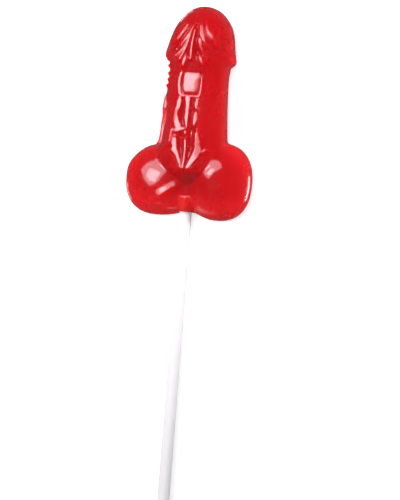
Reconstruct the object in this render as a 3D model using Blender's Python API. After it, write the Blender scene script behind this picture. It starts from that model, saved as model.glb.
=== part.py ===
"""A cast red lollipop on a paper stick, lying on the flat back that its one-sided mould gives it.

Frame: +X to the right of the shown face, +Y along the stick towards the tip, +Z out of the shown face.
The flat back lies on Z = 0. The origin is on it, midway between the two balls. Lengths are millimetres
until the mesh is made, and MM turns them into metres.
"""

import bpy
import numpy as np

MM = 0.001

# Stick: rolled paper, cast into the candy
STICK_RADIUS = 2.6
STICK_LENGTH = 152.0
STICK_DEPTH = 27.0
STICK_SIDES = 32
STICK_END_BEVEL = 0.4
AXIS_HEIGHT = 4.3
MOUTH_Y = -13.8
SOCKET_GAP = 0.3

# Candy: every form is widest at the height of the rounded rim, and the back below it is flat
RIM = 1.5

# Shaft: a D-shaped section that widens towards the balls and leans a little to the right
SHAFT_HALF_WIDTH = 12.4
SHAFT_WIDENING = 2.2
SHAFT_WIDENING_POWER = 1.5
SHAFT_NARROWEST_Y = 44.0
SHAFT_FOOT_Y = 18.0
SHAFT_HEIGHT = 15.1
SHAFT_POWER = 2.6
SHAFT_TOP_END = 56.0
SHAFT_LEAN = 0.036
SHAFT_LEAN_START = 11.0
SHAFT_LEAN_LEAST_Y = 14.0
NECK_Y = (44.2, 50.4)
NECK_RISE = 1.3
NECK_WIDENING = 0.5
SLOPE_TOP_Y = 4.4
SLOPE_DROP = 8.0
SLOPE_LENGTH = 8.0
WEDGE_TOP_Y = 12.0
WEDGE_LENGTH = 14.0
WEDGE_NARROWING = 0.65

# Left flank: cut back between the first and last Y, in full between the inner two, with a roll along it.
# Each corner of the roll's path has X, Y, height above the back and radius
FLANK_CUT_Y = (11.0, 15.0, 34.0, 39.0)
FLANK_CUT = 1.9
FLANK_ROLL = ((-11.2, 37.0, 3.2, 0.6), (-12.8, 30.0, 3.3, 1.3), (-12.2, 25.0, 3.2, 1.4),
              (-12.5, 20.0, 3.2, 1.4), (-15.0, 12.5, 3.0, 1.2))

# Head: a round dome over a flared skirt
DOME_CENTRE = (1.9, 59.2)
DOME_SEMI = (12.1, 13.7, 16.4)
HEAD_POWER = 2.25
SKIRT_EDGE_Y = 51.4
SKIRT_TILT = 0.05
SKIRT_SHIFT = -0.4
SKIRT_HALF_WIDTH = 15.1
SKIRT_TAPER = 0.2
SKIRT_LENGTH = 17.0
SKIRT_SHELF = 4.2
SKIRT_HEIGHT = 14.6
SKIRT_ALONG_POWER = 1.6

# Balls: centre, half sizes, and how far the highest point stands off the centre. The left one is wider
LEFT_BALL = ((-13.0, -0.9), (14.1, 14.8, 11.4), (0.0, 0.0))
RIGHT_BALL = ((13.2, -0.2), (13.6, 16.3, 13.4), (0.8, -0.8))
BALL_POWER = 2.35
LEFT_SHOULDER_ANGLE = 132.0
LEFT_SHOULDER_REACH = 23.8
LEFT_SHOULDER_SLOPE = 0.35

# Web between the balls, and the collar round the stick
WEB_CENTRE = (-1.6, 1.4)
WEB_SEMI = (13.0, 14.4, 7.3)
WEB_POWER = 2.0
COLLAR_HALF_WIDTH = 3.5
COLLAR_RISE = 4.3
COLLAR_SLOPE = 0.16
COLLAR_TOP_Y = -7.6

# How softly neighbouring forms run into each other
HEAD_BLEND = 1.6
LOBE_BLEND = 3.4
CROTCH_BLEND = 1.6
CROTCH_GROWTH = 0.2
SHOULDER_BLEND = 3.0
ROLL_BLEND = 0.5
COLLAR_BLEND = 0.6

# Grid: lines run from a spine on the axis out to the rim, equally on both sides.
# The spine's points are the start's Y and the line's angle, from the mouth to the tip
LINES = 88
COLUMNS = 29
RIM_STEPS = 3
SPINE = ((-6.0, -90.0), (-4.8, -62.0), (-3.0, -42.0), (-1.0, -16.0), (0.8, 0.0), (3.6, 17.0),
         (8.0, 28.0), (16.0, 20.0), (28.0, 8.0), (38.0, 0.0), (47.0, 5.0), (54.0, 24.0),
         (58.5, 48.0), (60.8, 72.0), (61.6, 90.0))
SPINE_LEAN_Y = (-6.0, 24.0)
INNER_SHARE = 0.55
OUTER_REACH = 40.0
DENSE_LINES = 500
DENSE_STEPS = 65
BISECTIONS = 30

# Folds of the shown face, with the face carved away between them: points in X and Y, and half width
FAN_FOLDS = {
    "outer_left": (((-3.1, 64.1), (-6.1, 58.9), (-8.2, 55.6)), 0.4),
    "left": (((-0.1, 63.8), (-2.9, 57.9), (-4.7, 54.8)), 0.3),
    "lower_left": (((-1.3, 58.9), (-2.8, 54.7), (-6.4, 50.6)), 0.3),
    "foot_left": (((-2.4, 50.9), (-3.2, 47.1)), 0.3),
    "middle": (((0.7, 61.5), (-0.1, 55.5), (-0.3, 49.5)), 0.3),
    "right": (((3.2, 64.9), (3.8, 60.1), (7.1, 54.7)), 0.4),
    "outer_right": (((5.2, 65.1), (7.1, 60.7), (9.7, 56.6)), 0.3),
    "lower_right": (((3.1, 57.6), (4.6, 53.1)), 0.3),
    "foot_right": (((3.5, 50.8), (4.8, 48.1)), 0.3),
}
SHAFT_FOLDS = {
    "pillow_rim_left": (((-2.3, 46.2), (-4.3, 41.8), (-3.9, 34.7)), 0.3),
    "pillow_rim_foot": (((-3.9, 34.7), (0.6, 33.6), (4.4, 34.3)), 0.3),
    "pillow_rim_right": (((4.9, 42.5), (4.7, 35.7), (4.4, 34.3)), 0.3),
    "rib_left": (((-3.7, 33.7), (-4.4, 28.6), (-5.1, 27.0), (-4.6, 23.1), (-3.3, 20.4)), 0.8),
    "rib_middle": (((-0.4, 33.4), (-0.3, 28.0), (0.0, 21.1)), 0.7),
    "rib_right": (((3.4, 33.0), (3.4, 29.1), (3.6, 24.1), (3.1, 22.2)), 0.7),
    "knot": (((-5.0, 19.5), (-3.0, 20.1), (-1.1, 20.4)), 0.5),
    "v_left": (((-5.0, 15.8), (-4.6, 11.6), (-1.1, 4.0)), 0.7),
    "v_middle": (((-0.3, 15.7), (0.0, 10.7), (-0.6, 4.0)), 0.2),
    "v_right": (((4.4, 18.6), (5.6, 12.4), (3.1, 6.9), (1.5, 3.4)), 1.0),
    "v_spur": (((5.8, 11.3), (8.3, 12.0)), 0.3),
}
FOLD_FLANK = 0.6
FOLD_ROUND = 0.12
FAN_FLANK = 0.8
FAN_ROUND = 0.4
FAN_RAISE = 0.1
FAN_LEVEL_Y = 52.0
FAN_LEVEL_SLOPE = 0.17

# Off the middle the folds stand higher, so that they keep the level of the middle: left side, right side
SHAFT_LIFT = (0.9, 0.6)
MOST_SHAFT_LIFT = 1.2
FAN_LIFT = (0.2, 0.7)
MOST_FAN_LIFT = 0.8
WIDEST_LIFT = 0.9

# Carved band that holds the folds: its Y, left edge and right edge, and its depth at each Y
BAND_EDGES = ((3.0, -1.0, 1.0), (8.0, -2.8, 3.8), (14.0, -4.8, 5.3), (20.0, -5.2, 4.6), (34.0, -4.5, 4.7),
              (47.0, -4.4, 4.8), (50.5, -6.6, 4.2), (54.7, -7.3, 4.5), (58.9, -5.4, 4.4), (65.0, -2.3, 3.4))
BAND_DEPTH = ((2.0, 0.0), (5.0, 1.6), (43.7, 1.6), (44.2, 0.0),
              (49.5, 0.0), (50.2, 1.0), (63.6, 1.2), (64.6, 0.0))
BAND_SOFT = 0.7

# Pillow: a raised rounded rectangle on the front of the shaft
PILLOW_CENTRE = (0.75, 39.6)
PILLOW_HALF = (3.3, 4.15)
PILLOW_POWER = 5.0
PILLOW_CROWN = 0.25

# Small beads down the left flank under the head, at their Y and height above the back
BEADS = ((49.4, 8.5), (46.6, 9.0), (43.4, 8.5), (40.8, 9.0), (38.2, 8.5))
BEAD_RADIUS = 1.0
BEAD_HEIGHT = 0.6
BEAD_SIDE_X = -6.0

# Broad folds on the balls: one end, the other end, half width and height
BALL_FOLDS = (((-13.3, -10.6), (-3.8, -3.3), 1.9, 1.0), ((8.0, -0.9), (16.0, 5.6), 5.0, 1.4))

CANDY_RED = (0.62, 0.012, 0.016, 1.0)
CANDY_ROUGHNESS = 0.08
CANDY_CLEARNESS = 0.6
PAPER_WHITE = (0.90, 0.89, 0.87, 1.0)
PAPER_ROUGHNESS = 0.75
SHARPEST_SMOOTH_ANGLE = 40.0


def smooth_step(value):
    """0 below 0 and 1 above 1, with a soft S between."""
    value = np.clip(value, 0.0, 1.0)
    return value * value * (3.0 - 2.0 * value)


def smooth_union(first, second, blend):
    """The lesser of two fields, with a fillet where they are closer than blend."""
    near = np.maximum(blend - np.abs(first - second), 0.0) / blend
    return np.minimum(first, second) - near * near * blend / 4.0


def smooth_cut(first, second, blend):
    """The greater of two fields, with the edge between them rounded."""
    return -smooth_union(-first, -second, blend)


def reach_field(parts, power, size):
    """Signed distance, roughly: the power norm of the parts, 1 on the surface, times the form's size."""
    total = sum(np.abs(part) ** power for part in parts)
    return (total ** (1.0 / power) - 1.0) * size


def lean(y):
    return SHAFT_LEAN * (np.maximum(y, SHAFT_LEAN_LEAST_Y) - SHAFT_LEAN_START)


def neck_share(y):
    """0 below the neck and 1 above it."""
    low, high = NECK_Y
    return np.clip((y - low) / (high - low), 0.0, 1.0)


def shaft_half_width(y):
    """The shaft widens a little at the neck and more at its foot, then narrows between the balls."""
    foot = np.clip((SHAFT_NARROWEST_Y - y) / (SHAFT_NARROWEST_Y - SHAFT_FOOT_Y), 0.0, 1.0)
    wedge = smooth_step((WEDGE_TOP_Y - y) / WEDGE_LENGTH)
    widening = SHAFT_WIDENING * foot**SHAFT_WIDENING_POWER + NECK_WIDENING * neck_share(y)
    return (SHAFT_HALF_WIDTH + widening) * (1.0 - WEDGE_NARROWING * wedge)


def shaft_field(x, y, z):
    """An extruded D that slopes down to its foot, with its left flank cut back."""
    low, full, fading, top = FLANK_CUT_Y
    cut = smooth_step((y - low) / (full - low)) * smooth_step((top - y) / (top - fading))
    half_width = shaft_half_width(y) - FLANK_CUT * cut * (x < lean(y))
    slope = SLOPE_DROP * smooth_step((SLOPE_TOP_Y - y) / SLOPE_LENGTH)
    height = SHAFT_HEIGHT + NECK_RISE * neck_share(y) - slope
    past_end = np.maximum(y - SHAFT_TOP_END, 0.0) / SHAFT_HALF_WIDTH
    past_foot = np.maximum(-y, 0.0) / SHAFT_HALF_WIDTH
    parts = ((x - lean(y)) / half_width, z / height, past_end + past_foot)
    return reach_field(parts, SHAFT_POWER, SHAFT_HALF_WIDTH)


def head_field(x, y, z):
    """A dome, and a skirt that flares towards its edge and ends in a short rounded shelf."""
    dome_x, dome_y = DOME_CENTRE
    semi_x, semi_y, semi_z = DOME_SEMI
    plan = np.hypot((x - dome_x) / semi_x, (y - dome_y) / semi_y)
    dome = reach_field((plan, z / semi_z), HEAD_POWER, semi_x)
    edge_y = SKIRT_EDGE_Y - SKIRT_TILT * x
    above = np.maximum(y - edge_y, 0.0)
    half_width = SKIRT_HALF_WIDTH - SKIRT_TAPER * above
    along = above / SKIRT_LENGTH + np.maximum(edge_y - y, 0.0) / SKIRT_SHELF
    plan = np.hypot((x - lean(y) - SKIRT_SHIFT) / half_width, along**SKIRT_ALONG_POWER)
    skirt = reach_field((plan, z / SKIRT_HEIGHT), HEAD_POWER, SKIRT_HALF_WIDTH)
    return smooth_union(dome, skirt, HEAD_BLEND)


def ball_field(x, y, z, ball):
    """A ball with a squarish plan, whose highest point stands a little off its centre."""
    (ball_x, ball_y), (semi_x, semi_y, semi_z), (apex_x, apex_y) = ball
    risen = np.maximum(z, 0.0) / semi_z
    parts = ((x - ball_x - apex_x * risen) / semi_x, (y - ball_y - apex_y * risen) / semi_y)
    plan = reach_field(parts, BALL_POWER, 1.0) + 1.0
    return (np.hypot(plan, z / semi_z) - 1.0) * semi_z


def lobes_field(x, y, z):
    """Both balls and the web between them. The left ball has a flattened outer shoulder."""
    angle = np.radians(LEFT_SHOULDER_ANGLE)
    along = x * np.cos(angle) + y * np.sin(angle) + z * LEFT_SHOULDER_SLOPE
    left = smooth_cut(ball_field(x, y, z, LEFT_BALL), along - LEFT_SHOULDER_REACH, SHOULDER_BLEND)
    parts = ((x - WEB_CENTRE[0]) / WEB_SEMI[0], (y - WEB_CENTRE[1]) / WEB_SEMI[1], z / WEB_SEMI[2])
    web = reach_field(parts, WEB_POWER, WEB_SEMI[2])
    return smooth_union(smooth_union(left, web, LOBE_BLEND), ball_field(x, y, z, RIGHT_BALL), LOBE_BLEND)


def flank_roll_field(x, y, z):
    """A tube round a bent path along the left flank, with its radius given at each corner."""
    best = np.full(np.shape(x), np.inf)
    for (x0, y0, z0, r0), (x1, y1, z1, r1) in zip(FLANK_ROLL, FLANK_ROLL[1:]):
        run_x, run_y, run_z = x1 - x0, y1 - y0, z1 - z0
        part = (x - x0) * run_x + (y - y0) * run_y + (z - z0) * run_z
        part = np.clip(part / (run_x**2 + run_y**2 + run_z**2), 0.0, 1.0)
        across = np.hypot(x - x0 - part * run_x, y - y0 - part * run_y)
        away = np.hypot(across, z - z0 - part * run_z)
        best = np.minimum(best, away - r0 - part * (r1 - r0))
    return best


def collar_field(x, y, z):
    """An arch over the stick, with upright sides. It rises a little from the candy's mouth to the web."""
    rise = COLLAR_HALF_WIDTH / (COLLAR_RISE + COLLAR_SLOPE * (y - MOUTH_Y))
    above_axis = np.maximum(z - (AXIS_HEIGHT - RIM), 0.0) * rise
    arch = np.hypot(x, above_axis) - COLLAR_HALF_WIDTH
    middle = (MOUTH_Y + COLLAR_TOP_Y) / 2.0
    ends = np.abs(y - middle) - (COLLAR_TOP_Y - MOUTH_Y) / 2.0
    return smooth_cut(arch, ends, COLLAR_BLEND)


def candy_field(x, y, z):
    """Negative inside the candy. z is measured from the widest level, a rim radius above the back."""
    body = smooth_union(shaft_field(x, y, z), head_field(x, y, z), HEAD_BLEND)
    crotch = CROTCH_BLEND + CROTCH_GROWTH * np.maximum(z, 0.0)
    body = smooth_union(body, lobes_field(x, y, z), crotch)
    body = smooth_union(body, flank_roll_field(x, y, z + RIM), ROLL_BLEND)
    return smooth_union(body, collar_field(x, y, z), COLLAR_BLEND)


def crossing(inside, direction):
    """Where rays from points inside leave the candy, by bisection. Arrays end in x, y, z."""
    low = np.zeros(inside.shape[:-1])
    high = np.full(inside.shape[:-1], OUTER_REACH)
    for _ in range(BISECTIONS):
        middle = (low + high) / 2.0
        point = inside + direction * middle[..., None]
        within = candy_field(point[..., 0], point[..., 1], point[..., 2]) < 0.0
        low = np.where(within, middle, low)
        high = np.where(within, high, middle)
    return inside + direction * low[..., None]


def line_starts(share):
    """Spine point and outward angle of the lines at these shares of the way from mouth to tip."""
    stations = np.linspace(0.0, 1.0, len(SPINE))
    start_y, angle = (np.interp(share, stations, column) for column in zip(*SPINE))
    low, high = SPINE_LEAN_Y
    start_x = lean(start_y) * smooth_step((start_y - low) / (high - low))
    return np.stack([start_x, start_y, 0.0 * start_y], axis=-1), np.radians(angle)


def directions(angle, side):
    return np.stack([side * np.cos(angle), np.sin(angle), 0.0 * angle], axis=-1)


def even_shares():
    """Shares that space the lines evenly along the outline."""
    share = np.linspace(0.0, 1.0, DENSE_LINES)
    start, angle = line_starts(share)
    step = 0.0
    for side in (-1.0, 1.0):
        rim = crossing(start, directions(angle, side))
        step = step + np.linalg.norm(np.diff(rim, axis=0), axis=1)
    run = np.concatenate([[0.0], np.cumsum(step)])
    return np.interp(np.linspace(0.0, run[-1], LINES), run, share)


def over_face(start, outward, reach, part):
    """Points at parts 0 to 1 of each line: straight up over its inner half, then a fan down to the rim."""
    inner = np.minimum(part * 2.0, 1.0) * INNER_SHARE * reach[:, None]
    tilt = np.minimum(2.0 - 2.0 * part, 1.0) * np.pi / 2.0
    origin = start[:, None] + outward[:, None] * inner[..., None]
    up = np.array([0.0, 0.0, 1.0])
    return crossing(origin, outward[:, None] * np.cos(tilt)[..., None] + up * np.sin(tilt)[..., None])


def side_lines(shares, side):
    """Lines over the shown face from the spine to the rim, with points at even steps of their own length."""
    start, angle = line_starts(shares)
    outward = directions(angle, side)
    reach = np.linalg.norm(crossing(start, outward) - start, axis=1)
    part = np.broadcast_to(np.linspace(0.0, 1.0, DENSE_STEPS), (len(shares), DENSE_STEPS))
    steps = np.linalg.norm(np.diff(over_face(start, outward, reach, part), axis=1), axis=2)
    run = np.concatenate([np.zeros((len(shares), 1)), np.cumsum(steps, axis=1)], axis=1)
    wanted = np.linspace(0.0, 1.0, COLUMNS)
    even = [np.interp(wanted, line_run / line_run[-1], part[0]) for line_run in run]
    return over_face(start, outward, reach, np.stack(even))


def beside_fold(x, y, path, half_width):
    """Distance from each point to the side of a fold that follows a path of straight runs."""
    best = np.full(x.shape, np.inf)
    for (x0, y0), (x1, y1) in zip(path, path[1:]):
        part = ((x - x0) * (x1 - x0) + (y - y0) * (y1 - y0)) / ((x1 - x0) ** 2 + (y1 - y0) ** 2)
        part = np.clip(part, 0.0, 1.0)
        best = np.minimum(best, np.hypot(x - x0 - part * (x1 - x0), y - y0 - part * (y1 - y0)))
    return best - half_width


def beside_pillow(x, y):
    """Rough distance from each point to the side of the pillow, negative on it."""
    across = (x - PILLOW_CENTRE[0]) / PILLOW_HALF[0]
    upward = (y - PILLOW_CENTRE[1]) / PILLOW_HALF[1]
    return reach_field((across, upward), PILLOW_POWER, PILLOW_HALF[0])


def fall_from(away, flank, soft):
    """Fall beside a fold: none on top of it, then an even slope, with a rounded edge between."""
    away = np.maximum(away, 0.0)
    return flank * (np.hypot(away, soft) - soft)


def levelled(x, drop, sides, most):
    """Rise that brings the folds off the middle back to its level, on the left and on the right."""
    return np.minimum(np.where(x < 0.0, *sides) * drop, most)


def relief(x, y, z):
    """How far each point of the shown face stands out along its normal, in folds and a carved band."""
    across = np.minimum(np.abs(x - lean(y)) / shaft_half_width(y), WIDEST_LIFT)
    drop = SHAFT_HEIGHT * (1.0 - (1.0 - across**SHAFT_POWER) ** (1.0 / SHAFT_POWER))
    pillow_away = beside_pillow(x, y)
    shaft_away = pillow_away
    for path, half_width in SHAFT_FOLDS.values():
        shaft_away = np.minimum(shaft_away, beside_fold(x, y, path, half_width))
    fan_away = np.full(x.shape, np.inf)
    for path, half_width in FAN_FOLDS.values():
        fan_away = np.minimum(fan_away, beside_fold(x, y, path, half_width))
    crown = PILLOW_CROWN * (1.0 - np.clip(pillow_away / PILLOW_HALF[0] + 1.0, 0.0, 1.0) ** 2)
    shaft_level = levelled(x, drop, SHAFT_LIFT, MOST_SHAFT_LIFT) + crown
    fan_level = FAN_RAISE + levelled(x, drop, FAN_LIFT, MOST_FAN_LIFT)
    fan_level = fan_level + FAN_LEVEL_SLOPE * np.maximum(FAN_LEVEL_Y - y, 0.0)
    stand = np.maximum(shaft_level - fall_from(shaft_away, FOLD_FLANK, FOLD_ROUND),
                       fan_level - fall_from(fan_away, FAN_FLANK, FAN_ROUND))
    band_y, band_left, band_right = zip(*BAND_EDGES)
    left = np.interp(y, band_y, band_left)
    right = np.interp(y, band_y, band_right)
    inside = smooth_step((x - left) / BAND_SOFT) * smooth_step((right - x) / BAND_SOFT)
    height = np.maximum(stand, -np.interp(y, *zip(*BAND_DEPTH)) * inside)
    for bead_y, bead_z in BEADS:
        away = np.hypot(y - bead_y, z - bead_z)
        height += (x < BEAD_SIDE_X) * BEAD_HEIGHT * np.exp(-((away / BEAD_RADIUS) ** 2))
    for low_end, high_end, half_width, tall in BALL_FOLDS:
        away = beside_fold(x, y, (low_end, high_end), 0.0)
        height += tall * np.exp(-((away / half_width) ** 2))
    return height


def grid_normals(grid):
    """Outward normals of a grid that closes on itself along its first axis."""
    around = np.roll(grid, -1, axis=0) - np.roll(grid, 1, axis=0)
    across = np.gradient(grid, axis=1)
    normal = np.cross(across, around)
    return normal / np.maximum(np.linalg.norm(normal, axis=-1, keepdims=True), 1e-9)


def candy_mesh():
    """Points and faces of the candy: the shown face in lines from the spine, its rim, and the flat back."""
    shares = even_shares()
    right = side_lines(shares, 1.0)
    left = side_lines(shares, -1.0)
    loop = np.concatenate([right, left[-2:0:-1]])
    normal = grid_normals(loop)
    normal[:, 0] = (normal[:, 0] + normal[pair_index(len(loop)), 0]) / 2.0
    stand = relief(loop[..., 0], loop[..., 1], loop[..., 2] + RIM)
    stand[:, -1] = 0.0
    loop = loop + normal * stand[..., None]
    loop[..., 2] += RIM
    outline = loop[:, -1]
    tangent = np.roll(outline, -1, axis=0) - np.roll(outline, 1, axis=0)
    inward = np.stack([-tangent[:, 1], tangent[:, 0], 0.0 * tangent[:, 0]], axis=1)
    inward /= np.linalg.norm(inward, axis=1, keepdims=True)
    turn = np.linspace(0.0, np.pi / 2.0, RIM_STEPS + 1)[1:]
    rim = outline[:, None] + inward[:, None] * (RIM * (1.0 - np.cos(turn)))[None, :, None]
    rim[..., 2] = RIM * (1.0 - np.sin(turn))
    rim[:, -1, 2] = 0.0
    return np.concatenate([loop, rim], axis=1)


def pair_index(count):
    """For each line of the loop, the line on the other side that starts at the same spine point."""
    return (count - np.arange(count)) % count


def candy_faces(count, columns):
    """Quads between neighbouring lines, one spine point for both sides, and one flat face for the back."""
    number = np.arange(count * columns).reshape(count, columns)
    number[:, 0] = np.minimum(number[:, 0], number[pair_index(count), 0])
    faces = []
    for line in range(count):
        following = (line + 1) % count
        for column in range(columns - 1):
            corners = [number[line, column], number[line, column + 1],
                       number[following, column + 1], number[following, column]]
            faces.append([int(corner) for corner in dict.fromkeys(corners)])
    faces.append([int(corner) for corner in number[::-1, -1]])
    return faces


def plain_material(name, colour, roughness, transmission=0.0):
    material = bpy.data.materials.new(name)
    material.use_nodes = True
    shader = material.node_tree.nodes["Principled BSDF"]
    shader.inputs["Base Color"].default_value = colour
    shader.inputs["Roughness"].default_value = roughness
    shader.inputs["Metallic"].default_value = 0.0
    shader.inputs["Transmission Weight"].default_value = transmission
    return material


def mesh_object(name, points, faces):
    """An object from points in millimetres, with the points that no face uses left out."""
    used = sorted({corner for face in faces for corner in face})
    place = {old: new for new, old in enumerate(used)}
    mesh = bpy.data.meshes.new(name)
    corners = [tuple(points[old] * MM) for old in used]
    mesh.from_pydata(corners, [], [[place[corner] for corner in face] for face in faces])
    mesh.update()
    thing = bpy.data.objects.new(name, mesh)
    bpy.context.scene.collection.objects.link(thing)
    return thing


def round_bar(name, radius, low, high):
    """A closed cylinder along Y on the stick's axis, from Y low to Y high."""
    bpy.ops.mesh.primitive_cylinder_add(
        vertices=STICK_SIDES,
        radius=radius * MM,
        depth=(high - low) * MM,
        location=(0.0, (low + high) / 2.0 * MM, AXIS_HEIGHT * MM),
        rotation=(np.pi / 2.0, 0.0, 0.0),
    )
    bar = bpy.context.object
    bar.name = name
    return bar


def make_stick():
    """The paper stick, with softly broken ends."""
    inner_end = MOUTH_Y + STICK_DEPTH
    stick = round_bar("stick", STICK_RADIUS, inner_end - STICK_LENGTH, inner_end)
    bevel = stick.modifiers.new("broken ends", "BEVEL")
    bevel.width = STICK_END_BEVEL * MM
    bevel.segments = 2
    bevel.limit_method = "ANGLE"
    stick.data.materials.append(plain_material("paper", PAPER_WHITE, PAPER_ROUGHNESS))
    stick.data.shade_smooth()
    stick.data.set_sharp_from_angle(angle=np.radians(SHARPEST_SMOOTH_ANGLE))
    return stick


def make_candy():
    """The cast candy, with the blind hole that the stick fills."""
    grid = candy_mesh()
    faces = candy_faces(grid.shape[0], grid.shape[1])
    candy = mesh_object("candy", grid.reshape(-1, 3), faces)
    candy.data.materials.append(plain_material("red hard candy", CANDY_RED, CANDY_ROUGHNESS, CANDY_CLEARNESS))
    candy.data.shade_smooth()
    hole_end = MOUTH_Y + STICK_DEPTH + SOCKET_GAP
    socket = round_bar("socket", STICK_RADIUS + SOCKET_GAP, MOUTH_Y - STICK_DEPTH, hole_end)
    socket.hide_render = True
    socket.display_type = "WIRE"
    cut = candy.modifiers.new("stick hole", "BOOLEAN")
    cut.operation = "DIFFERENCE"
    cut.object = socket
    return candy


def main():
    for thing in list(bpy.data.objects):
        bpy.data.objects.remove(thing, do_unlink=True)
    make_candy()
    make_stick()


main()
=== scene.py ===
import math

import bpy
import numpy as np
from mathutils import Matrix, Vector


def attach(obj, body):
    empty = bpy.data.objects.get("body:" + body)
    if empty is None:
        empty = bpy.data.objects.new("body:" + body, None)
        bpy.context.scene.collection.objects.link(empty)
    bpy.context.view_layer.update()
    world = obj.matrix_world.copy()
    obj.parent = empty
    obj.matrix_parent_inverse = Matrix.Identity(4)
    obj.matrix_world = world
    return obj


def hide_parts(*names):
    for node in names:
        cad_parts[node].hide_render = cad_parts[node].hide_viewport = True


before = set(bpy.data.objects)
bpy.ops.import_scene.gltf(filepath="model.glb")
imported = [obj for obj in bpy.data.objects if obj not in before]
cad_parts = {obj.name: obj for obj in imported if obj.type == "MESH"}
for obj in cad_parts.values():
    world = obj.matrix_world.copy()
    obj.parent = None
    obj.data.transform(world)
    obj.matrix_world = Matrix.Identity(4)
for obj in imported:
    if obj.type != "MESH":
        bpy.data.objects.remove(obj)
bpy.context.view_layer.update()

# A cast red lollipop on a paper stick, lying on its flat back.
# +X is right on the shown face, +Y runs along the stick to the tip, +Z comes out of the face.
# Shapes are worked out in millimetres, and mm turns them into metres when a mesh is made.
mm = 0.001


# Shader expressions

class Wire:
    # A shader socket that can stand in a sum: + and * each add a Math node
    def __init__(self, finish, socket):
        self.finish = finish
        self.socket = socket

    def __add__(self, other):
        return self.finish.sum("ADD", self, other)

    def __radd__(self, other):
        return self.finish.sum("ADD", other, self)

    def __mul__(self, other):
        return self.finish.sum("MULTIPLY", self, other)

    def __rmul__(self, other):
        return self.finish.sum("MULTIPLY", other, self)


class Finish:
    # A material and its nodes
    def __init__(self, name):
        self.material = bpy.data.materials.new(name)
        self.material.use_nodes = True
        self.tree = self.material.node_tree
        self.tree.nodes.clear()

    def node(self, kind, settings=None, sockets=None, output=0):
        # Settings first, then values or links for the named sockets
        made = self.tree.nodes.new("ShaderNode" + kind)
        for name, value in (settings or {}).items():
            setattr(made, name, value)
        for name, value in (sockets or {}).items():
            if isinstance(value, Wire):
                self.tree.links.new(value.socket, made.inputs[name])
            else:
                made.inputs[name].default_value = value
        return Wire(self, made.outputs[output]) if made.outputs else None

    def sum(self, operation, first, second):
        return self.node("Math", {"operation": operation}, {0: first, 1: second})

    def mix(self, factor, first, second):
        # A colour between two colours, which a Mix node takes at its sockets 6 and 7 and gives at output 2
        return self.node("Mix", {"data_type": "RGBA"}, {0: factor, 6: first, 7: second}, output=2)

    def place(self, scale):
        # Object coordinates in metres, stretched by a scale for each axis
        where = self.node("TexCoord", output="Object")
        return self.node("Mapping", {}, {"Vector": where, "Scale": scale})

    def axis(self, where, name):
        # One coordinate of a place: X, Y or Z
        return self.node("SeparateXYZ", {}, {"Vector": where}, output=name)

    def rise(self, value, start, end):
        # 0 at the start and 1 at the end, with a soft S between
        sockets = {"Value": value, "From Min": start, "From Max": end}
        return self.node("MapRange", {"interpolation_type": "SMOOTHSTEP"}, sockets)

    def noise(self, where, scale, detail, rough=0.5):
        # A soft cloud of values about one half
        sockets = {"Vector": where, "Scale": scale, "Detail": detail, "Roughness": rough}
        return self.node("TexNoise", {}, sockets)

    def bump(self, height, strength, depth):
        # The normal tilted by a height of 0 to 1 times the depth in metres
        return self.node("Bump", {}, {"Height": height, "Strength": strength, "Distance": depth})

    def finishWith(self, surface, volume=None):
        # The output takes the surface's shader and, for clear sugar, a volume's
        shaders = {"Surface": surface, "Volume": volume} if volume else {"Surface": surface}
        self.node("OutputMaterial", {}, shaders)
        return self.material


# Mesh helpers

def smoothStep(value):
    # 0 below 0 and 1 above 1, with a soft S between
    value = np.clip(value, 0.0, 1.0)
    return value * value * (3.0 - 2.0 * value)


def meshPiece(name, points, faces, finish):
    # Points in millimetres and a list of corner lists become an object at the origin
    mesh = bpy.data.meshes.new(name)
    mesh.from_pydata((points * mm).tolist(), [], faces)
    mesh.update()
    mesh.shade_smooth()
    mesh.materials.append(finish)
    piece = bpy.data.objects.new(name, mesh)
    bpy.context.scene.collection.objects.link(piece)
    return piece


def ridePiece(piece, node):
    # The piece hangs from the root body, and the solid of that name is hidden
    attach(piece, "root")
    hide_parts(node)


# Camera: it looks down on the face, rolled a little to the right side, as the photo was taken

cameraView = {
    "roll": 11.0,             # degrees about the stick's axis, towards +X
    "tilt": 4.45,             # degrees that the stick leans in the picture, clockwise
    "lens": 180.0,            # mm
    "sensor": 36.0,           # mm, over the picture's long side
    "pictureHeight": 210.0,   # mm of the object's plane over the picture's long side
    "centreAlong": -29.3,     # mm, the picture's centre along Y
    "centreAcross": 7.2,      # mm, the picture's centre to the right of the stick
    "axisHeight": 4.3,        # mm, the stick's axis above the back
    "farthest": 10.0,         # m, where the view ends
}


def viewAxes():
    # The picture's right, up and backward directions, and last the right before the tilt
    roll = math.radians(cameraView["roll"])
    tilt = math.radians(cameraView["tilt"])
    level = Vector((math.cos(roll), 0.0, -math.sin(roll)))
    along = Vector((0.0, 1.0, 0.0))
    right = level * math.cos(tilt) + along * math.sin(tilt)
    up = along * math.cos(tilt) - level * math.sin(tilt)
    return right, up, Vector((math.sin(roll), 0.0, math.cos(roll))), level


def makeCamera():
    # From the picture's centre back by height times lens over sensor, so that the lens shows that height
    right, up, back, level = viewAxes()
    middle = Vector((0.0, cameraView["centreAlong"], cameraView["axisHeight"]))
    middle = middle + level * cameraView["centreAcross"]
    distance = cameraView["pictureHeight"] * cameraView["lens"] / cameraView["sensor"]
    data = bpy.data.cameras.new("camera")
    data.lens = cameraView["lens"]
    data.sensor_width = cameraView["sensor"]
    data.clip_end = cameraView["farthest"]
    camera = bpy.data.objects.new("camera", data)
    placed = Matrix((right, up, back)).transposed().to_4x4()
    placed.translation = (middle + back * distance) * mm
    camera.matrix_world = placed
    bpy.context.scene.collection.objects.link(camera)
    bpy.context.scene.camera = camera


makeCamera()
print("camera placed")


# Candy: forms and folds in millimetres

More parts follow.
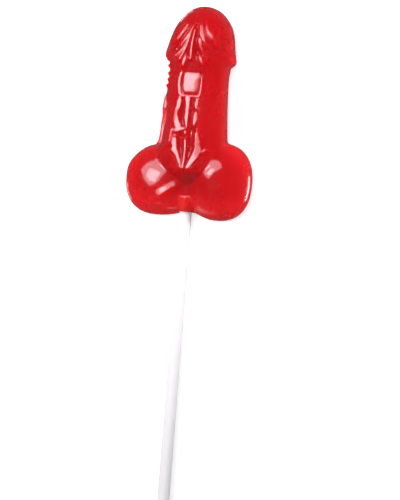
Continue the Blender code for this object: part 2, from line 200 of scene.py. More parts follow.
candy = {
    "rim": 1.5,            # radius of the rounded edge round the back
    "axisHeight": 4.3,     # the stick's axis above the back
    "mouthY": -13.8,       # where the stick leaves the candy
    # shaft
    "shaftHalfWidth": 12.4, "shaftWidening": 2.2, "widenPower": 1.5,
    "shaftNarrowestY": 44.0, "shaftFootY": 18.0,
    "shaftHeight": 15.1, "shaftPower": 2.6, "shaftTopEnd": 56.0,
    "shaftLean": 0.036, "shaftLeanStart": 11.0, "straightBelowY": 14.0,
    "neckY": (44.0, 49.6), "neckRise": 1.3, "neckWidening": 0.5,
    "slopeTopY": 4.4, "slopeDrop": 8.0, "slopeLength": 8.0,
    "wedgeTopY": 12.0, "wedgeLength": 14.0, "wedgeNarrowing": 0.65,
    # left flank, and the roll along it: X, Y, height of its middle and radius
    "flankY": (11.0, 15.0, 24.0, 36.0), "flankCut": 1.9,
    "flankRoll": (
        (-11.5, 37.0, 2.6, 0.5), (-12.4, 33.0, 2.7, 1.0), (-12.6, 29.0, 2.7, 1.15), (-12.5, 26.0, 2.7, 1.0),
        (-12.7, 23.0, 2.7, 1.1), (-12.9, 19.0, 2.7, 1.1), (-13.4, 15.5, 2.6, 1.1), (-14.9, 12.5, 2.4, 1.1),
    ),
    # head
    "domeCentre": (1.9, 59.2), "domeSemi": (12.1, 13.7, 16.4), "headPower": 2.25,
    "skirtEdgeY": 51.4, "skirtTilt": 0.05, "skirtShift": -0.4, "skirtHalfWidth": 15.1, "skirtTaper": 0.2,
    "skirtLength": 17.0, "skirtShelf": 4.2, "skirtHeight": 14.6, "skirtPower": 1.6,
    # balls: middle, half sizes and how far the top lies off the middle
    "leftBall": ((-13.0, -0.9), (14.1, 14.8, 11.4), (0.0, 0.0)),
    "rightBall": ((13.2, -0.2), (13.6, 16.3, 13.4), (0.8, -0.8)),
    "ballPower": 2.35, "shoulderAngle": 132.0, "shoulderReach": 23.8, "shoulderSlope": 0.35,
    # web between the balls, and collar
    "web": ((-1.6, 1.4), (13.0, 14.4, 7.3)), "webPower": 2.0,
    "collarHalfWidth": 3.5, "collarRise": 4.3, "collarSlope": 0.16, "collarTopY": -7.6,
    # fillets
    "headBlend": 1.6, "lobeBlend": 3.4, "crotchBlend": 1.6, "crotchGrowth": 0.2,
    "shoulderBlend": 3.0, "rollBlend": 0.5, "collarBlend": 0.6,
    # grid: lines round the outline, columns along each line, and the steps of the rim and the back
    "lines": 335, "columns": 132, "columnPower": 1.25,
    "rimSteps": 6, "backSteps": (0.03, 0.12, 0.3, 0.5, 0.75, 1.0),
    # how the lines are laid out, and how far and how finely the surface is looked for
    "innerShare": 0.55, "coarseLines": 500, "coarseSteps": 65,
    "farthest": 40.0, "bisections": 30, "shortest": 1e-9,
    "spineLeanY": -6.0, "spineLeanLength": 30.0,
    "sink": 0.25,          # how far the back is hollowed
    "creaseAngle": 22.0,   # degrees, past which an edge stays crisp
}

# The lines of the grid start on a spine: the start's Y and the line's angle, from the mouth to the tip
spine = ((-6.0, -90.0), (-4.8, -62.0), (-3.0, -42.0), (-1.0, -16.0), (0.8, 0.0), (3.6, 17.0),
         (8.0, 28.0), (16.0, 20.0), (28.0, 8.0), (38.0, 0.0), (47.0, 5.0), (54.0, 24.0),
         (58.5, 48.0), (60.8, 72.0), (61.6, 90.0))

# Folds of the face as strokes: X, Y and half width at each point. Between them the face is carved
fanFolds = (
    ((-3.1, 64.1, 0.1), (-4.8, 61.0, 0.4), (-6.1, 58.9, 0.75), (-7.4, 57.0, 0.7), (-8.6, 55.4, 0.2)),
    ((-0.1, 63.8, 0.1), (-1.3, 60.4, 0.3), (-2.9, 57.9, 0.2), (-4.7, 54.8, 0.05)),
    ((-1.3, 58.9, 0.05), (-2.1, 56.8, 0.3), (-2.8, 54.7, 0.5), (-4.2, 53.0, 0.3), (-6.4, 50.6, 0.05)),
    ((-2.8, 54.7, 0.3), (-3.2, 52.9, 0.1), (-4.9, 49.2, 0.05)),
    ((0.7, 61.5, 0.05), (0.2, 58.1, 0.1), (-0.1, 55.5, 0.15), (-0.3, 53.1, 0.2), (-0.3, 49.5, 0.1)),
    ((-2.4, 50.9, 0.1), (-2.7, 49.1, 0.35), (-3.2, 47.1, 0.2)),
    ((3.1, 66.0, 0.3), (3.2, 64.9, 0.45), (3.4, 62.4, 0.5), (3.7, 60.3, 0.6), (4.4, 58.6, 0.45),
     (5.4, 56.8, 0.3), (7.1, 54.7, 0.1)),
    ((5.0, 65.8, 0.2), (5.9, 62.8, 0.3), (7.1, 60.7, 0.4), (8.4, 58.5, 0.35), (9.7, 56.2, 0.15)),
    ((3.1, 57.8, 0.2), (3.3, 56.9, 0.5), (3.7, 55.1, 0.4), (4.6, 53.1, 0.15)),
    ((3.5, 50.8, 0.1), (4.2, 49.3, 0.35), (4.8, 48.1, 0.1)),
)
shaftFolds = (
    # rim round the pillow
    ((-2.3, 46.2, 0.15), (-3.5, 44.4, 0.25), (-4.3, 41.8, 0.3), (-4.5, 38.7, 0.3), (-3.9, 34.7, 0.4)),
    ((-3.9, 34.7, 0.3), (-2.0, 33.9, 0.15), (0.6, 33.6, 0.12), (3.1, 34.0, 0.15), (4.4, 34.3, 0.2)),
    ((4.9, 41.6, 0.1), (4.9, 39.5, 0.2), (4.7, 35.7, 0.25), (4.4, 34.3, 0.2)),
    # three ribs and the left one's foot
    ((-3.8, 33.2, 0.3), (-3.8, 32.0, 0.7), (-4.2, 29.6, 0.7), (-5.0, 27.2, 0.4), (-5.0, 25.4, 0.6),
     (-4.6, 23.1, 0.9), (-3.9, 21.6, 1.2), (-3.3, 20.4, 1.0)),
    ((-5.0, 19.5, 0.5), (-3.0, 20.1, 0.6), (-1.1, 20.4, 0.3)),
    ((-0.5, 33.2, 0.8), (-0.4, 32.0, 0.8), (-0.3, 30.8, 0.6), (-0.3, 28.0, 0.5), (-0.4, 25.5, 0.6),
     (-0.3, 23.0, 0.4), (0.0, 21.1, 0.15)),
    ((3.6, 32.6, 0.4), (3.5, 31.2, 0.7), (3.4, 29.4, 0.3)),
    ((3.5, 27.2, 0.3), (3.5, 25.6, 0.8), (3.4, 23.8, 0.7), (3.1, 22.4, 0.3)),
    # the V at the foot, its middle line and spur
    ((-5.0, 15.8, 0.7), (-4.9, 14.3, 0.9), (-4.4, 12.9, 0.7), (-4.6, 11.6, 1.0), (-3.3, 9.8, 0.6),
     (-2.0, 6.5, 0.4), (-1.0, 3.6, 0.15)),
    ((-0.3, 15.7, 0.2), (0.0, 13.6, 0.25), (0.0, 10.7, 0.2), (-0.2, 7.4, 0.2), (-0.6, 4.0, 0.2)),
    ((4.4, 18.6, 0.4), (4.8, 17.0, 0.8), (5.1, 14.5, 1.0), (5.6, 12.4, 1.2), (4.5, 9.6, 1.1),
     (2.9, 6.9, 0.8), (1.6, 4.7, 0.5), (0.7, 3.0, 0.15)),
    ((5.8, 11.3, 0.5), (7.0, 11.3, 0.3), (8.3, 12.0, 0.15)),
    # a thin line left of the V, and a knot above its middle line
    ((-6.1, 20.0, 0.1), (-6.6, 17.4, 0.15), (-6.9, 14.7, 0.1)),
    ((-0.5, 18.9, 0.3), (-0.3, 18.6, 0.3)),
)

relief = {
    "flank": 0.6, "edgeRound": 0.12,    # slope of the shaft folds' sides, and how round their edges are
    "fanFlank": 0.8, "fanRound": 0.4,   # the same for the fan's
    # tops of the folds: level with the face, lifted where the face falls away to the sides
    "liftLeft": 0.9, "liftRight": 0.6, "mostLift": 1.2,
    "fanRaise": 0.1, "fanLiftLeft": 0.6, "fanLiftRight": 0.7, "mostFanLift": 1.1,
    "fanLevelY": 52.0, "fanLevelSlope": 0.17,
    "widestShare": 0.9,                 # of the shaft's half width, past which the lift grows no more
    # the carved band between the folds: Y, left edge and right edge
    "band": (
        (3.0, -0.8, 0.6), (5.0, -1.5, 1.8), (8.0, -2.8, 3.6), (12.0, -4.5, 5.5), (16.0, -5.0, 5.0),
        (20.0, -5.2, 4.2), (34.0, -4.5, 4.2), (44.0, -4.4, 4.9), (47.0, -4.4, 4.8), (50.5, -6.6, 4.2),
        (53.0, -7.0, 4.8), (54.7, -7.3, 4.5), (56.6, -6.8, 4.7), (58.9, -5.4, 4.4), (60.8, -4.3, 3.8),
        (62.6, -1.8, 3.3), (64.2, 0.4, 1.6),
    ),
    # its depth: Y and depth
    "depth": (
        (2.0, 0.0), (4.0, 2.4), (18.8, 0.9), (19.8, 2.0), (33.4, 0.7), (34.2, 1.6),
        (43.7, 1.6), (44.2, 0.0), (49.5, 0.0), (49.8, 1.5), (63.6, 1.7), (64.2, 0.0),
    ),
    "softLeft": 0.7, "softRight": 0.3,  # how far the band's edges slope
    "pillowCentre": (0.9, 39.6), "pillowHalf": (3.45, 4.15), "pillowPower": 5.0, "pillowCrown": 0.25,
    # beads along the shaft's left edge: Y and height of each
    "beads": ((49.4, 10.6), (46.6, 11.2), (43.4, 10.6), (40.8, 11.2), (38.2, 10.6)),
    "beadRadius": 1.0, "beadHeight": 1.15, "beadsLeftOf": -6.0,
    # broad folds on the balls: ends, half width and height
    "ballFolds": (
        ((-13.3, -10.6), (-3.8, -3.3), 1.9, 0.95),
        ((6.5, 1.0), (14.3, 7.4), 4.5, 1.35),
        ((-13.2, 1.5), (-12.8, 8.0), 5.5, -0.25),
    ),
}


def smoothUnion(first, second, blend):
    # The lesser of two fields, with a fillet where they are closer than blend
    near = np.maximum(blend - np.abs(first - second), 0.0) / blend
    return np.minimum(first, second) - near * near * blend / 4.0


def smoothCut(first, second, blend):
    # The greater of two fields, with the same fillet
    return -smoothUnion(-first, -second, blend)


def reachField(parts, power, size):
    # Rough signed distance: the power norm of the parts less 1, times the form's size
    total = sum(np.abs(part) ** power for part in parts)
    return (total ** (1.0 / power) - 1.0) * size


def lean(y):
    # How far to the right the shaft's middle lies: an even slope, and straight low down
    return candy["shaftLean"] * (np.maximum(y, candy["straightBelowY"]) - candy["shaftLeanStart"])


def neckShare(y):
    # 0 below the neck and 1 above it
    low, high = candy["neckY"]
    return np.clip((y - low) / (high - low), 0.0, 1.0)


def shaftHalfWidth(y):
    # It widens to the foot, then narrows as a wedge between the balls, and widens a little at the neck
    narrowest = candy["shaftNarrowestY"]
    foot = np.clip((narrowest - y) / (narrowest - candy["shaftFootY"]), 0.0, 1.0)
    wedge = smoothStep((candy["wedgeTopY"] - y) / candy["wedgeLength"])
    halfWidth = candy["shaftHalfWidth"] + candy["shaftWidening"] * foot**candy["widenPower"]
    halfWidth = halfWidth + candy["neckWidening"] * neckShare(y)
    return halfWidth * (1.0 - candy["wedgeNarrowing"] * wedge)


def shaftField(x, y, z):
    # An extruded D that slopes down to its foot. Its left flank is cut back, to make room for the roll
    halfWidth = shaftHalfWidth(y)
    low, full, fading, top = candy["flankY"]
    cut = smoothStep((y - low) / (full - low)) * smoothStep((top - y) / (top - fading))
    halfWidth = halfWidth - candy["flankCut"] * cut * (x < lean(y))
    slope = candy["slopeDrop"] * smoothStep((candy["slopeTopY"] - y) / candy["slopeLength"])
    height = candy["shaftHeight"] + candy["neckRise"] * neckShare(y) - slope
    pastEnd = np.maximum(y - candy["shaftTopEnd"], 0.0) / candy["shaftHalfWidth"]
    pastFoot = np.maximum(-y, 0.0) / candy["shaftHalfWidth"]
    parts = ((x - lean(y)) / halfWidth, z / height, pastEnd + pastFoot)
    return reachField(parts, candy["shaftPower"], candy["shaftHalfWidth"])


def headField(x, y, z):
    # A dome, and a skirt that flares towards its edge and ends in a short rounded shelf
    domeX, domeY = candy["domeCentre"]
    semiX, semiY, semiZ = candy["domeSemi"]
    parts = (np.hypot((x - domeX) / semiX, (y - domeY) / semiY), z / semiZ)
    dome = reachField(parts, candy["headPower"], semiX)
    edgeY = candy["skirtEdgeY"] - candy["skirtTilt"] * x
    above = np.maximum(y - edgeY, 0.0)
    halfWidth = candy["skirtHalfWidth"] - candy["skirtTaper"] * above
    along = above / candy["skirtLength"] + np.maximum(edgeY - y, 0.0) / candy["skirtShelf"]
    across = (x - lean(y) - candy["skirtShift"]) / halfWidth
    parts = (np.hypot(across, along ** candy["skirtPower"]), z / candy["skirtHeight"])
    skirt = reachField(parts, candy["headPower"], candy["skirtHalfWidth"])
    return smoothUnion(dome, skirt, candy["headBlend"])


def lobesField(x, y, z):
    # Both balls and the web between them. The left ball has a flattened outer shoulder
    fields = []
    for (ballX, ballY), semi, (apexX, apexY) in (candy["leftBall"], candy["rightBall"]):
        risen = np.maximum(z, 0.0) / semi[2]
        parts = ((x - ballX - apexX * risen) / semi[0], (y - ballY - apexY * risen) / semi[1])
        plan = reachField(parts, candy["ballPower"], 1.0) + 1.0
        fields.append((np.hypot(plan, z / semi[2]) - 1.0) * semi[2])
    angle = math.radians(candy["shoulderAngle"])
    along = x * math.cos(angle) + y * math.sin(angle) + z * candy["shoulderSlope"]
    left = smoothCut(fields[0], along - candy["shoulderReach"], candy["shoulderBlend"])
    (webX, webY), semi = candy["web"]
    web = reachField(((x - webX) / semi[0], (y - webY) / semi[1], z / semi[2]), candy["webPower"], semi[2])
    return smoothUnion(smoothUnion(left, web, candy["lobeBlend"]), fields[1], candy["lobeBlend"])


def flankRollField(x, y, z):
    # A roll along the left flank: a tube round a bent path, with its radius given at each corner
    best = np.full(np.shape(x), np.inf)
    for (x0, y0, z0, r0), (x1, y1, z1, r1) in zip(candy["flankRoll"], candy["flankRoll"][1:]):
        length = math.dist((x0, y0, z0), (x1, y1, z1))
        part = (x - x0) * (x1 - x0) + (y - y0) * (y1 - y0) + (z - z0) * (z1 - z0)
        part = np.clip(part / length**2, 0.0, 1.0)
        across = np.hypot(x - x0 - part * (x1 - x0), y - y0 - part * (y1 - y0))
        away = np.hypot(across, z - z0 - part * (z1 - z0))
        best = np.minimum(best, away - r0 - part * (r1 - r0))
    return best


def collarField(x, y, z):
    # An arch over the stick with upright sides, between the candy's mouth and the web. It rises to the web
    rise = candy["collarHalfWidth"] / (candy["collarRise"] + candy["collarSlope"] * (y - candy["mouthY"]))
    aboveAxis = np.maximum(z - (candy["axisHeight"] - candy["rim"]), 0.0) * rise
    arch = np.hypot(x, aboveAxis) - candy["collarHalfWidth"]
    middle = (candy["mouthY"] + candy["collarTopY"]) / 2.0
    ends = np.abs(y - middle) - (candy["collarTopY"] - candy["mouthY"]) / 2.0
    return smoothCut(arch, ends, candy["collarBlend"])


def candyField(x, y, z):
    # Negative inside. z is measured from the widest level, a rim radius above the back
    body = smoothUnion(shaftField(x, y, z), headField(x, y, z), candy["headBlend"])
    crotchBlend = candy["crotchBlend"] + candy["crotchGrowth"] * np.maximum(z, 0.0)
    body = smoothUnion(body, lobesField(x, y, z), crotchBlend)
    body = smoothUnion(body, flankRollField(x, y, z + candy["rim"]), candy["rollBlend"])
    return smoothUnion(body, collarField(x, y, z), candy["collarBlend"])


def crossing(inside, direction):
    # Where rays from points inside leave the candy, by bisection
    low = np.zeros(inside.shape[:-1])
    high = np.full(inside.shape[:-1], candy["farthest"])
    for _ in range(candy["bisections"]):
        middle = (low + high) / 2.0
        point = inside + direction * middle[..., None]
        within = candyField(point[..., 0], point[..., 1], point[..., 2]) < 0.0
        low = np.where(within, middle, low)
        high = np.where(within, high, middle)
    return inside + direction * low[..., None]


def lineStarts(share):
    # Spine point and outward angle of the lines at these shares of the way from mouth to tip
    stations = np.linspace(0.0, 1.0, len(spine))
    startY, angle = (np.interp(share, stations, column) for column in zip(*spine))
    startX = lean(startY) * smoothStep((startY - candy["spineLeanY"]) / candy["spineLeanLength"])
    return np.stack([startX, startY, 0.0 * startY], axis=-1), np.radians(angle)


def outwardOf(angle, side):
    # The level direction at an angle from +X, or from -X where side is -1
    return np.stack([side * np.cos(angle), np.sin(angle), 0.0 * angle], axis=-1)


def evenShares():
    # Shares that space the lines evenly along the outline
    share = np.linspace(0.0, 1.0, candy["coarseLines"])
    start, angle = lineStarts(share)
    steps = 0.0
    for side in (-1.0, 1.0):
        steps = steps + np.linalg.norm(np.diff(crossing(start, outwardOf(angle, side)), axis=0), axis=1)
    run = np.concatenate([[0.0], np.cumsum(steps)])
    return np.interp(np.linspace(0.0, run[-1], candy["lines"]), run, share)


def overFace(start, outward, reach, part):
    # Points at parts 0 to 1 of each line: straight up over its inner half, then a fan down to the rim
    inner = np.minimum(part * 2.0, 1.0) * candy["innerShare"] * reach[:, None]
    tilt = np.minimum(2.0 - 2.0 * part, 1.0) * math.pi / 2.0
    origin = start[:, None] + outward[:, None] * inner[..., None]
    direction = outward[:, None] * np.cos(tilt)[..., None]
    direction = direction + np.array([0.0, 0.0, 1.0]) * np.sin(tilt)[..., None]
    return crossing(origin, direction)


def sideLines(shares, side):
    # Lines over the face from the spine to the rim, in steps that are finer near the spine
    start, angle = lineStarts(shares)
    outward = outwardOf(angle, side)
    reach = np.linalg.norm(crossing(start, outward) - start, axis=1)
    part = np.tile(np.linspace(0.0, 1.0, candy["coarseSteps"]), (len(shares), 1))
    coarse = overFace(start, outward, reach, part)
    steps = np.linalg.norm(np.diff(coarse, axis=1), axis=2)
    run = np.concatenate([np.zeros((len(shares), 1)), np.cumsum(steps, axis=1)], axis=1)
    share = run / run[:, -1:]
    wanted = np.linspace(0.0, 1.0, candy["columns"]) ** candy["columnPower"]
    fine = np.stack([np.interp(wanted, share[line], part[line]) for line in range(len(shares))])
    return overFace(start, outward, reach, fine)


def besideStroke(x, y, stroke):
    # Distance from each point to a stroke's side: to its path, less its half width there
    best = np.full(x.shape, np.inf)
    for (x0, y0, w0), (x1, y1, w1) in zip(stroke, stroke[1:]):
        length = math.hypot(x1 - x0, y1 - y0)
        part = np.clip(((x - x0) * (x1 - x0) + (y - y0) * (y1 - y0)) / length**2, 0.0, 1.0)
        away = np.hypot(x - x0 - part * (x1 - x0), y - y0 - part * (y1 - y0))
        best = np.minimum(best, away - w0 - part * (w1 - w0))
    return best


def besidePillow(x, y):
    # Rough distance to the pillow's side, a square with round corners
    across, upward = relief["pillowHalf"]
    parts = ((x - relief["pillowCentre"][0]) / across, (y - relief["pillowCentre"][1]) / upward)
    return reachField(parts, relief["pillowPower"], across)


def fallFrom(away, flank, soft):
    # Fall beside a fold: flat on top, then an even slope, with a rounded edge between
    away = np.maximum(away, 0.0)
    return flank * (np.hypot(away, soft) - soft)


def besideFolds(x, y, strokes):
    # Distance to the side of the nearest stroke
    best = np.full(x.shape, np.inf)
    for stroke in strokes:
        best = np.minimum(best, besideStroke(x, y, stroke))
    return best


def foldHeight(x, y):
    # The higher of the shaft's folds and the fan's: their tops' level, less the fall beside the nearest
    power = candy["shaftPower"]
    across = np.minimum(np.abs(x - lean(y)) / shaftHalfWidth(y), relief["widestShare"])
    drop = candy["shaftHeight"] * (1.0 - (1.0 - across**power) ** (1.0 / power))
    lift = np.where(x < 0.0, relief["liftLeft"], relief["liftRight"])
    lift = np.minimum(lift * drop, relief["mostLift"])
    pillowAway = besidePillow(x, y)
    inward = np.clip(pillowAway / relief["pillowHalf"][0] + 1.0, 0.0, 1.0)
    crown = relief["pillowCrown"] * (1.0 - inward**2)
    shaftAway = np.minimum(pillowAway, besideFolds(x, y, shaftFolds))
    shaft = lift + crown - fallFrom(shaftAway, relief["flank"], relief["edgeRound"])
    fanLift = np.where(x < 0.0, relief["fanLiftLeft"], relief["fanLiftRight"])
    raised = relief["fanRaise"] + np.minimum(fanLift * drop, relief["mostFanLift"])
    raised = raised + relief["fanLevelSlope"] * np.maximum(relief["fanLevelY"] - y, 0.0)
    fan = raised - fallFrom(besideFolds(x, y, fanFolds), relief["fanFlank"], relief["fanRound"])
    return np.maximum(shaft, fan)


def bandDepth(x, y):
    # The carved band's depth at y, run out softly to its left and right edges
    bandY, leftEdge, rightEdge = zip(*relief["band"])
    depthY, depth = zip(*relief["depth"])
    fromLeft = (x - np.interp(y, bandY, leftEdge)) / relief["softLeft"]
    fromRight = (np.interp(y, bandY, rightEdge) - x) / relief["softRight"]
    return np.interp(y, depthY, depth) * (smoothStep(fromLeft) * smoothStep(fromRight))


def reliefHeight(x, y, z):
    # How far the face stands out: the folds or else the band's floor, plus the beads and the broad folds
    height = np.maximum(foldHeight(x, y), -bandDepth(x, y))
    onLeft = x < relief["beadsLeftOf"]
    for beadY, beadZ in relief["beads"]:
        away = np.hypot(y - beadY, z - beadZ)
        height = height + onLeft * relief["beadHeight"] * np.exp(-((away / relief["beadRadius"]) ** 2))
    for (x0, y0), (x1, y1), half, tall in relief["ballFolds"]:
        away = besideStroke(x, y, ((x0, y0, 0.0), (x1, y1, 0.0)))
        height = height + tall * np.exp(-((away / half) ** 2))
    return height


def partner(count):
    # For each line of the loop, the line on the other side with the same start
    return (count - np.arange(count)) % count


def faceLines(shares):
    # Lines over the face, all round the loop, moved out along their normals by the relief's height
    right = sideLines(shares, 1.0)
    left = sideLines(shares, -1.0)
    loop = np.concatenate([right, left[-2:0:-1]])
    around = np.roll(loop, -1, axis=0) - np.roll(loop, 1, axis=0)
    normal = np.cross(np.gradient(loop, axis=1), around)
    normal /= np.maximum(np.linalg.norm(normal, axis=-1, keepdims=True), candy["shortest"])
    normal[:, 0] = (normal[:, 0] + normal[partner(len(loop)), 0]) / 2.0
    stand = reliefHeight(loop[..., 0], loop[..., 1], loop[..., 2] + candy["rim"])
    stand[:, -1] = 0.0
    loop = loop + normal * stand[..., None]
    loop[..., 2] += candy["rim"]
    return loop


def roundedRim(outline):
    # A quarter circle at each point of the outline, in and down to the back
    tangent = np.roll(outline, -1, axis=0) - np.roll(outline, 1, axis=0)
    inward = np.stack([-tangent[:, 1], tangent[:, 0], 0.0 * tangent[:, 0]], axis=1)
    inward /= np.linalg.norm(inward, axis=1, keepdims=True)
    turn = np.linspace(0.0, math.pi / 2.0, candy["rimSteps"] + 1)[1:]
    rim = outline[:, None] + inward[:, None] * (candy["rim"] * (1.0 - np.cos(turn)))[None, :, None]
    rim[..., 2] = candy["rim"] * (1.0 - np.sin(turn))
    return rim


def flatBack(edge, shares):
    # Straight lines from the rim's lower edge in to the spine, hollowed a little towards the middle
    starts = lineStarts(shares)[0]
    starts = np.concatenate([starts, starts[-2:0:-1]])[:, None]
    share = np.array(candy["backSteps"])[None, :, None]
    back = edge * (1.0 - share) + starts * share
    back[..., 2] = candy["sink"] * smoothStep(share[..., 0] * 2.0)
    return back


def candyGrid():
    # Rows are lines round the loop. Columns run from the spine over the face, round the rim and back below
    shares = evenShares()
    face = faceLines(shares)
    rim = roundedRim(face[:, -1])
    return np.concatenate([face, rim, flatBack(rim[:, -1:], shares)], axis=1)


def candyFaces(count, columns):
    # Quads between neighbouring lines. Both ends of a line are shared with its partner
    number = np.arange(count * columns).reshape(count, columns)
    for column in (0, -1):
        number[:, column] = np.minimum(number[:, column], number[partner(count), column])
    following = np.roll(number, -1, axis=0)
    quads = np.stack([number[:, :-1], number[:, 1:], following[:, 1:], following[:, :-1]], axis=-1)
    return [list(dict.fromkeys(quad)) for quad in quads.reshape(-1, 4).tolist()]


def dropUnused(points, faces):
    # The points that no face has are left out, and the faces count the others anew
    used = np.unique(np.array([corner for face in faces for corner in face]))
    place = np.full(len(points), -1)
    place[used] = np.arange(len(used))
    return points[used], [[int(place[corner]) for corner in face] for face in faces]


# Candy finish: clear boiled sugar with a deep cherry tint, glossy, with a faintly rippled skin

candyFinish = {
    # deep where the sugar is thick. Near the back and towards the mouth a lighter painted glow stands in for
    # light shining through the thin sugar
    "deepTint": (0.545, 0.006, 0.011, 1.0),
    "paintedThinGlow": (0.84, 0.019, 0.027, 1.0),
    "thinBelow": 0.003, "deepAbove": 0.014,        # m above the back
    "thinY": -0.015, "deepY": -0.003,              # m along the stick
    # painted glow: the collar is painted a brighter red, standing in for light from the white stick inside
    # showing through the thin sugar
    "paintedCollarGlow": (1.0, 0.03, 0.03, 1.0),
    "collarWide": 0.0036, "collarCore": 0.0026,    # m to each side of the stick's axis
    "collarEnd": -0.0075, "collarFade": 0.001,     # m along the stick
    # clear sugar: the share of light that goes through, and the tint that depth gives it
    "clear": 0.4,
    "tint": (0.97, 0.45, 0.5, 1.0), "density": 300.0,
    "scatter": 0.012, "scatterRadius": (1.0, 0.06, 0.06),
    "ior": 1.5, "innerGloss": (0.25, 0.25, 0.25, 1.0),
    # skin
    "roughness": (0.22, 0.32), "cloudScale": 120.0, "cloudDetail": 3.0,
    "coat": 1.0, "coatRoughness": 0.08,
    "rippleScale": 260.0, "rippleDetail": 2.0, "rippleStrength": 0.06, "rippleDepth": 0.001,
}


def makeCandyFinish():
    # Roughness goes from low to high with a cloud of noise. The tint goes from a painted glow where the
    # sugar is thin to deep with height and Y, and a painted glow lies on the collar
    skin = Finish("cherry sugar")
    where = skin.place((1.0, 1.0, 1.0))
    along = skin.axis(where, "Y")
    cloud = skin.noise(where, candyFinish["cloudScale"], candyFinish["cloudDetail"])
    low, high = candyFinish["roughness"]
    rough = cloud * (high - low) + low
    ripple = skin.noise(where, candyFinish["rippleScale"], candyFinish["rippleDetail"])
    # painted light: the lighter tint low down and towards the mouth stands in for light shining through thin
    # sugar
    deep = skin.rise(skin.axis(where, "Z"), candyFinish["thinBelow"], candyFinish["deepAbove"])
    deep = deep * skin.rise(along, candyFinish["thinY"], candyFinish["deepY"])
    tint = skin.mix(deep, candyFinish["paintedThinGlow"], candyFinish["deepTint"])
    # painted glow on the collar: full over the stick, fading at the collar's sides and its upper end
    across = skin.node("Math", {"operation": "ABSOLUTE"}, {0: skin.axis(where, "X")})
    end, fade = candyFinish["collarEnd"], candyFinish["collarFade"]
    glow = skin.rise(across, candyFinish["collarWide"], candyFinish["collarCore"])
    glow = glow * skin.rise(along, end + fade, end - fade)
    surface = skin.node("BsdfPrincipled", {}, {
        "Base Color": skin.mix(glow, tint, candyFinish["paintedCollarGlow"]),
        "Roughness": rough,
        "IOR": candyFinish["ior"],
        "Transmission Weight": candyFinish["clear"],
        "Subsurface Weight": 1.0,
        "Subsurface Scale": candyFinish["scatter"],
        "Subsurface Radius": candyFinish["scatterRadius"],
        "Specular Tint": candyFinish["innerGloss"],
        "Coat Weight": candyFinish["coat"],
        "Coat Roughness": candyFinish["coatRoughness"],
        "Normal": skin.bump(ripple, candyFinish["rippleStrength"], candyFinish["rippleDepth"]),
    })
    sockets = {"Color": candyFinish["tint"], "Density": candyFinish["density"]}
    return skin.finishWith(surface, skin.node("VolumeAbsorption", {}, sockets))


def makeCandy():
    # One closed casting, whose creases between folds stay crisp
    grid = candyGrid()
    points, faces = dropUnused(grid.reshape(-1, 3), candyFaces(grid.shape[0], grid.shape[1]))
    piece = meshPiece("castCandy", points, faces, makeCandyFinish())
    piece.data.set_sharp_from_angle(angle=math.radians(candy["creaseAngle"]))
    ridePiece(piece, "candy")


makeCandy()
print("candy cast")


# Stick: rolled paper

stick = {
    "radius": 2.6,
    "length": 152.0,
    "depth": 27.0,         # how far it reaches into the candy
    "endRound": 0.35,
    "endSteps": 6,
    "around": 96,
    "along": 120,
    "seamHeight": 0.04,    # the step where the paper's edge ends
    "seamAngle": 250.0,    # degrees round from +X
    "creaseAngle": 50.0,   # degrees, past which an edge stays crisp
}

paperFinish = {
    "white": (0.76, 0.775, 0.75, 1.0),
    "shade": (0.69, 0.705, 0.68, 1.0),
    "roughness": 0.62,
    "fibreScale": (900.0, 60.0, 900.0), "fibreDetail": 3.0, "fibreRough": 0.6,
    "fibreStrength": 0.08, "fibreDepth": 0.0003,
    "mottleScale": 90.0, "mottleDetail": 3.0,
}


def makePaperFinish():
    # White goes to shade by fibres, drawn out along the stick, times a mottle
    paper = Finish("rolled paper")
    stretched = paper.place(paperFinish["fibreScale"])
    fibre = paper.noise(stretched, 1.0, paperFinish["fibreDetail"], paperFinish["fibreRough"])
    even = paper.place((1.0, 1.0, 1.0))
    mottle = paper.noise(even, paperFinish["mottleScale"], paperFinish["mottleDetail"])
    surface = paper.node("BsdfPrincipled", {}, {
        "Base Color": paper.mix(fibre * mottle, paperFinish["white"], paperFinish["shade"]),
        "Roughness": paperFinish["roughness"],
        "Normal": paper.bump(fibre, paperFinish["fibreStrength"], paperFinish["fibreDepth"]),
    })
    return paper.finishWith(surface)


def stickProfile():
    # Y and radius from the outer end to the inner: a straight run between quarter circles
    innerEnd = candy["mouthY"] + stick["depth"]
    outerEnd = innerEnd - stick["length"]
    radius, soft = stick["radius"], stick["endRound"]
    turn = np.linspace(0.0, math.pi / 2.0, stick["endSteps"])
    fromEnd = soft * (1.0 - np.sin(turn))
    rounded = radius - soft * (1.0 - np.cos(turn))
    outer = np.stack([outerEnd + fromEnd, rounded], axis=1)[::-1]
    inner = np.stack([innerEnd - fromEnd, rounded], axis=1)
    run = np.linspace(outerEnd + soft, innerEnd - soft, stick["along"])[1:-1]
    straight = np.stack([run, np.full(run.shape, radius)], axis=1)
    return np.concatenate([outer, straight, inner])


def makeStick():
    # The profile turned round the axis. The radius falls evenly from the seam, once round
    profile = stickProfile()
    angle = np.linspace(0.0, 2.0 * math.pi, stick["around"], endpoint=False)
    fromSeam = np.mod(angle - math.radians(stick["seamAngle"]), 2.0 * math.pi) / (2.0 * math.pi)
    reach = profile[:, 1][:, None] - stick["seamHeight"] * fromSeam[None, :]
    x = reach * np.cos(angle)
    y = np.broadcast_to(profile[:, 0][:, None], x.shape)
    z = reach * np.sin(angle) + candy["axisHeight"]
    points = np.stack([x, y, z], axis=-1).reshape(-1, 3)
    number = np.arange(x.size).reshape(x.shape)
    following = np.roll(number, -1, axis=1)
    quads = np.stack([number[:-1], number[1:], following[1:], following[:-1]], axis=-1)
    ends = [number[0].tolist(), number[-1, ::-1].tolist()]
    piece = meshPiece("paperStick", points, quads.reshape(-1, 4).tolist() + ends, makePaperFinish())
    piece.data.set_sharp_from_angle(angle=math.radians(stick["creaseAngle"]))
    ridePiece(piece, "stick")


makeStick()
print("stick rolled")


# Floor and light

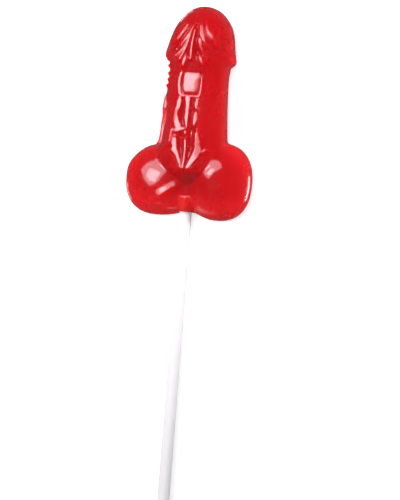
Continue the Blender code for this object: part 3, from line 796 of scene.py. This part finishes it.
studio = {
    "floorZ": -0.3,                         # mm
    "floorSize": 3000.0,                    # mm
    "floorColour": (0.6, 0.6, 0.6, 1.0),
    "floorGlow": 0.95,
    "floorRoughness": 0.6,
    "skyColour": (1.0, 1.0, 1.0, 1.0),
    "skyStrength": 0.08,
    "lampColour": (0.98, 0.93, 1.0),
    "aim": (0.0, 25.0, 8.0),                # mm, the point that the lamps face
    # name: degrees left and above the camera's axis, distance mm, width and height mm, watts
    "lamps": {
        "panel": (27.0, 20.0, 600.0, 620.0, 530.0, 4.4),
        "flash": (27.0, 11.0, 590.0, 240.0, 240.0, 1.4),
        "fill": (-68.0, 14.0, 320.0, 200.0, 200.0, 0.14),
        "leftFill": (78.0, 6.0, 320.0, 200.0, 200.0, 0.035),
        "lowFill": (0.0, -66.0, 320.0, 200.0, 200.0, 0.02),
    },
    "noGlint": ("fill", "leftFill", "lowFill"),
    "fillSpread": 40.0,                     # degrees, for the lamps that leave no glint
    # Small lamps that face up beside the candy, seen only as glints near its outline.
    # Name: X, Y, width and length mm, degrees turned, watts
    "edgeLamps": {
        "rightEdge": (32.5, -3.0, 2.5, 14.0, 0.0, 0.0009),
        "leftEdge": (-31.6, -8.7, 2.0, 11.0, 23.0, 0.00018),
        "headEdge": (-11.2, 73.4, 2.0, 10.0, -45.0, 0.00018),
    },
}


def makeFloor():
    # A square sheet that glows a little, so that it comes out nearly white
    half = studio["floorSize"] / 2.0
    corners = np.array([(-half, -half, 0.0), (half, -half, 0.0), (half, half, 0.0), (-half, half, 0.0)])
    corners[:, 2] = studio["floorZ"]
    plain = Finish("pale floor")
    surface = plain.node("BsdfPrincipled", {}, {
        "Base Color": studio["floorColour"],
        "Roughness": studio["floorRoughness"],
        "Emission Color": studio["floorColour"],
        "Emission Strength": studio["floorGlow"],
    })
    floor = meshPiece("floor", corners, [[0, 1, 2, 3]], plain.finishWith(surface))
    floor.visible_glossy = False


def areaLamp(name, width, length, power):
    # A rectangle of light, its sides in millimetres
    data = bpy.data.lights.new(name, "AREA")
    data.shape = "RECTANGLE"
    data.size = width * mm
    data.size_y = length * mm
    data.energy = power
    lamp = bpy.data.objects.new(name, data)
    bpy.context.scene.collection.objects.link(lamp)
    return lamp


def makeLamps():
    # Each lamp stands in a direction given from the camera's own axes, and faces the candy
    right, up, back, _ = viewAxes()
    aim = Vector(studio["aim"])
    for name, (left, above, distance, width, height, power) in studio["lamps"].items():
        across, rise = math.radians(left), math.radians(above)
        direction = back * math.cos(across) * math.cos(rise) - right * math.sin(across) * math.cos(rise)
        direction = direction + up * math.sin(rise)
        lamp = areaLamp(name, width, height, power)
        lamp.location = (aim + direction * distance) * mm
        lamp.rotation_euler = direction.to_track_quat("Z", "Y").to_euler()
        lamp.data.color = studio["lampColour"]
        if name in studio["noGlint"]:
            lamp.data.spread = math.radians(studio["fillSpread"])
            lamp.visible_glossy = False
            lamp.visible_transmission = False


def makeEdgeLamps():
    # Flat beside the candy and facing up. Only glossy rays see them
    for name, (x, y, width, length, turn, power) in studio["edgeLamps"].items():
        lamp = areaLamp(name, width, length, power)
        lamp.location = (x * mm, y * mm, 0.0)
        lamp.rotation_euler = (math.pi, 0.0, math.radians(turn))
        lamp.visible_camera = False
        lamp.visible_diffuse = False
        lamp.visible_transmission = False
        lamp.visible_volume_scatter = False


def makeSky():
    # An even, dim light from all round
    world = bpy.data.worlds.new("studio")
    world.use_nodes = True
    background = world.node_tree.nodes["Background"]
    background.inputs["Color"].default_value = studio["skyColour"]
    background.inputs["Strength"].default_value = studio["skyStrength"]
    bpy.context.scene.world = world


makeFloor()
makeLamps()
makeEdgeLamps()
makeSky()
bpy.context.scene.view_settings.view_transform = "Standard"
print("studio lit")
